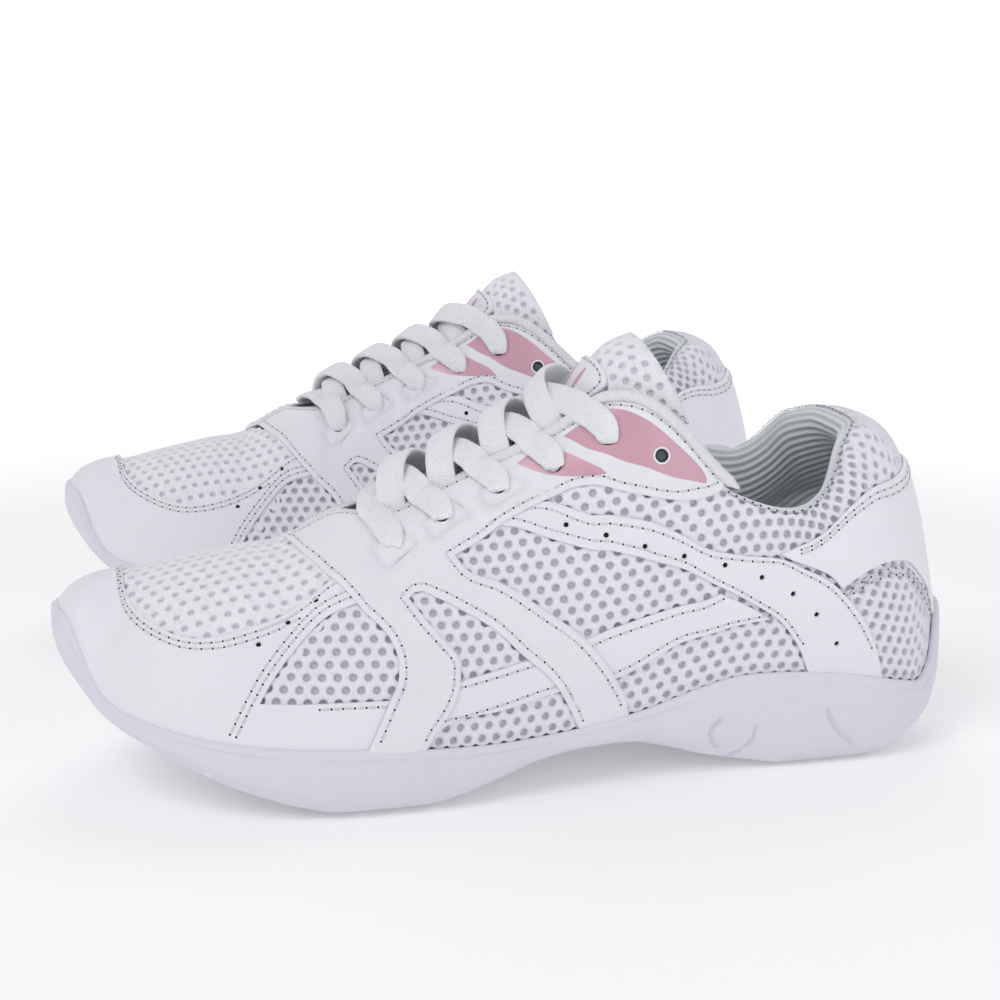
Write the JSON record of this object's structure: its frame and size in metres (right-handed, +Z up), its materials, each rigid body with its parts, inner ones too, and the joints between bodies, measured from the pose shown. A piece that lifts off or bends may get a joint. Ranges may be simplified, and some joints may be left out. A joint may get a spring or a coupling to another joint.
{
  "type": "pair of cheer shoes",
  "caption": "Pair of low white cheer shoes with air-mesh windows, stitched overlays, laced eyestays with pink panels, padded collars and one-piece curled soles.",
  "frame": {"origin": "on the floor midway between the two shoes, half way along the soles", "axes": "+Z up, the toes point to -X, the left shoe is on the -Y side"},
  "size_m": [0.268, 0.265, 0.125],
  "materials": {
    "sole": "moulded white foam, satin",
    "tread": "fine raised tread",
    "board": "woven board",
    "knit": "ribbed pale blue-grey knit",
    "mesh": "white air mesh",
    "leather": "white synthetic leather, fine grain",
    "stiffener": "thermoplastic sheet",
    "foam": "foam",
    "pink": "dusty pink thin film plastic",
    "lace": "woven flat lace"
  },
  "bodies": {
    "left_shoe": {"left_sole_unit": "sole", "left_heel_tread": "tread", "left_lasting_board": "board", "left_vamp_mesh": "mesh", "left_quarter_mesh_lateral": "mesh", "left_quarter_mesh_medial": "mesh", "left_toe_cap": "leather", "left_eyestay_lateral": "leather", "left_eyestay_medial": "leather", "left_side_band_lateral": "leather", "left_side_band_medial": "leather", "left_side_strip_lateral": "leather", "left_side_strip_medial": "leather", "left_heel_overlay": "leather", "left_heel_counter": "stiffener", "left_toe_puff": "stiffener", "left_collar_padding": "foam", "left_collar_lining": "knit", "left_topline_piping_lateral": "leather", "left_topline_piping_medial": "leather", "left_eyelet_panel_large_lateral": "pink", "left_eyelet_panel_large_medial": "pink", "left_eyelet_panel_small_lateral": "pink", "left_eyelet_panel_small_medial": "pink", "left_lace": "lace"},
    "left_tongue": {"left_tongue": "mesh", "left_tongue_label": "leather"},
    "left_insole": {"left_insole": "knit"},
    "right_shoe": {"right_sole_unit": "sole", "right_heel_tread": "tread", "right_lasting_board": "board", "right_vamp_mesh": "mesh", "right_quarter_mesh_lateral": "mesh", "right_quarter_mesh_medial": "mesh", "right_toe_cap": "leather", "right_eyestay_lateral": "leather", "right_eyestay_medial": "leather", "right_side_band_lateral": "leather", "right_side_band_medial": "leather", "right_side_strip_lateral": "leather", "right_side_strip_medial": "leather", "right_heel_overlay": "leather", "right_heel_counter": "stiffener", "right_toe_puff": "stiffener", "right_collar_padding": "foam", "right_collar_lining": "knit", "right_topline_piping_lateral": "leather", "right_topline_piping_medial": "leather", "right_eyelet_panel_large_lateral": "pink", "right_eyelet_panel_large_medial": "pink", "right_eyelet_panel_small_lateral": "pink", "right_eyelet_panel_small_medial": "pink", "right_lace": "lace"},
    "right_tongue": {"right_tongue": "mesh", "right_tongue_label": "leather"},
    "right_insole": {"right_insole": "knit"}
  },
  "joints": [
    {"name": "right_shoe_apart", "type": "slide", "parent": "left_shoe", "child": "right_shoe", "axis": [0, 1, 0], "range_m": [0, 0.1]},
    {"name": "left_tongue_hinge", "type": "hinge", "parent": "left_shoe", "child": "left_tongue", "pos_m": [-0.058, -0.0835, 0.0645], "axis": [0, 1, 0], "range_deg": [0, 8]},
    {"name": "left_insole_lift", "type": "hinge", "parent": "left_shoe", "child": "left_insole", "pos_m": [-0.123, -0.0835, 0.034], "axis": [0, -1, 0], "range_deg": [0, 4]},
    {"name": "right_tongue_hinge", "type": "hinge", "parent": "right_shoe", "child": "right_tongue", "pos_m": [-0.058, 0.0835, 0.0645], "axis": [0, 1, 0], "range_deg": [0, 8]},
    {"name": "right_insole_lift", "type": "hinge", "parent": "right_shoe", "child": "right_insole", "pos_m": [-0.123, 0.0835, 0.034], "axis": [0, -1, 0], "range_deg": [0, 4]}
  ]
}
